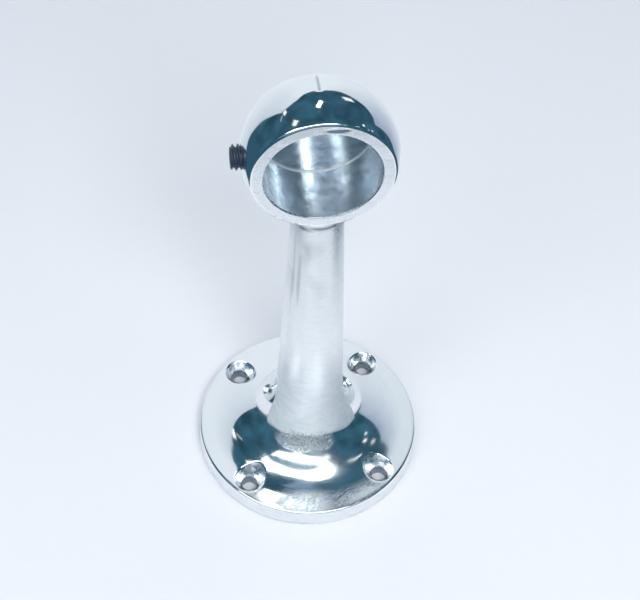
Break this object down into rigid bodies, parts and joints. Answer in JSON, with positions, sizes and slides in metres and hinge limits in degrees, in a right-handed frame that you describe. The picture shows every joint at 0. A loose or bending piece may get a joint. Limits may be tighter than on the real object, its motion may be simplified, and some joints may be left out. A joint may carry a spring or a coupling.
{
  "type": "pole end bracket",
  "caption": "Cast and polished metal wall bracket with a round screw-on base, a tapered stem and a blind cup head that holds the end of a pole, pinned by a side grub screw.",
  "frame": {"origin": "middle of the base's flat wall face", "axes": "+Z along the stem away from the wall, -Y out of the bore's mouth, -X out of the grub screw's hole"},
  "size_m": [0.0634, 0.0634, 0.1375],
  "materials": {
    "polished_casting": "hand polished",
    "black_steel": "black oxide"
  },
  "bodies": {
    "casting": {"bracket": "polished_casting"},
    "grub_screw": {"set_screw": "black_steel"}
  },
  "joints": [
    {"name": "grub_screw_travel", "type": "slide", "parent": "casting", "child": "grub_screw", "axis": [1, 0, 0], "range_m": [-0.00127, 0.00254]}
  ]
}
